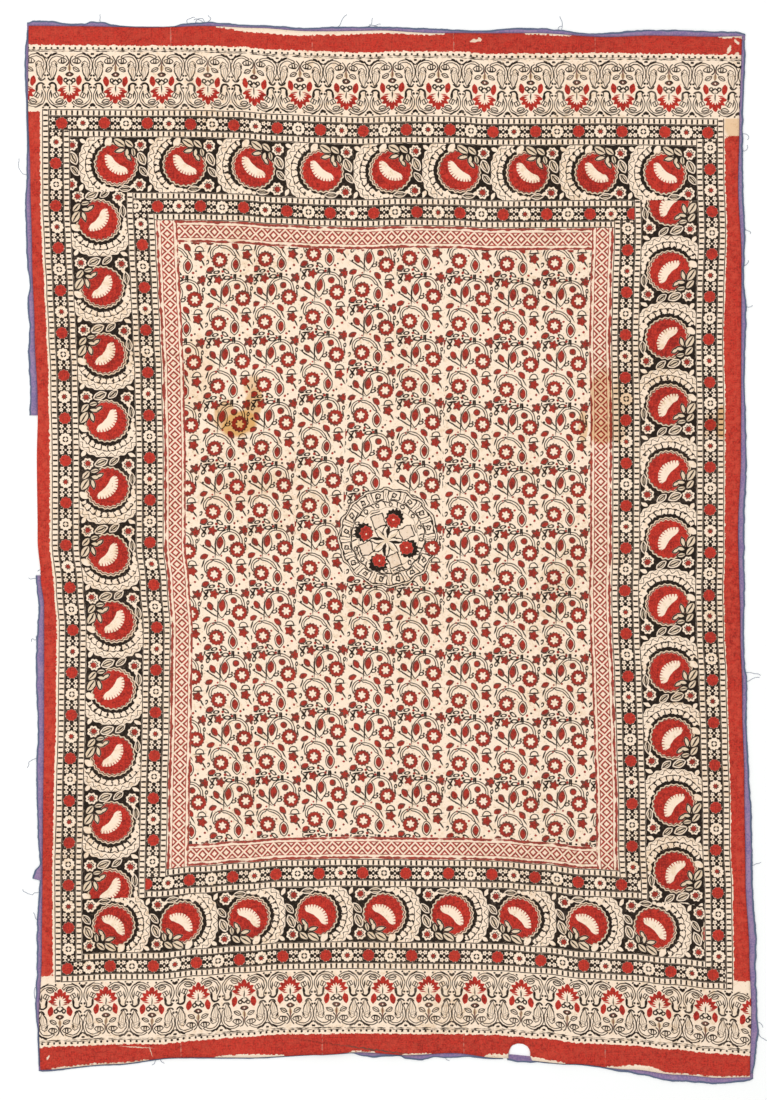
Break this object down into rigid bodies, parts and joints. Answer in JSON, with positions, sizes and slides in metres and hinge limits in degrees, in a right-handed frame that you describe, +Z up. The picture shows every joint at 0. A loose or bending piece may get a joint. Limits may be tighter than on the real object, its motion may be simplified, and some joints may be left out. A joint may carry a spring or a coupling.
{
  "type": "block printed cotton cloth",
  "caption": "Flat rectangular block printed cotton cover with borders all round, a repeating field, a small central medallion and torn strips of narrow binding along its edges.",
  "frame": {"origin": "middle of the cloth's underside, on the surface that it lies on", "axes": "+Z up, away from the surface; +Y along the cloth's length, towards the end where the binding is whole; +X across its width"},
  "size_m": [1.0277, 1.4885, 0.0067],
  "materials": {
    "printed_cotton": "plain woven cotton, block printed in madder red, brown-black and tan on cream, worn and soft, matte",
    "binding_cotton": "thin faded violet-blue plain woven cotton, folded narrow, frayed, matte"
  },
  "bodies": {
    "root": {"printed_cloth": "printed_cotton", "binding_top": "binding_cotton", "binding_right": "binding_cotton", "binding_left_upper": "binding_cotton", "binding_left_lower": "binding_cotton", "binding_bottom_left": "binding_cotton", "binding_bottom_right": "binding_cotton"}
  },
  "joints": []
}
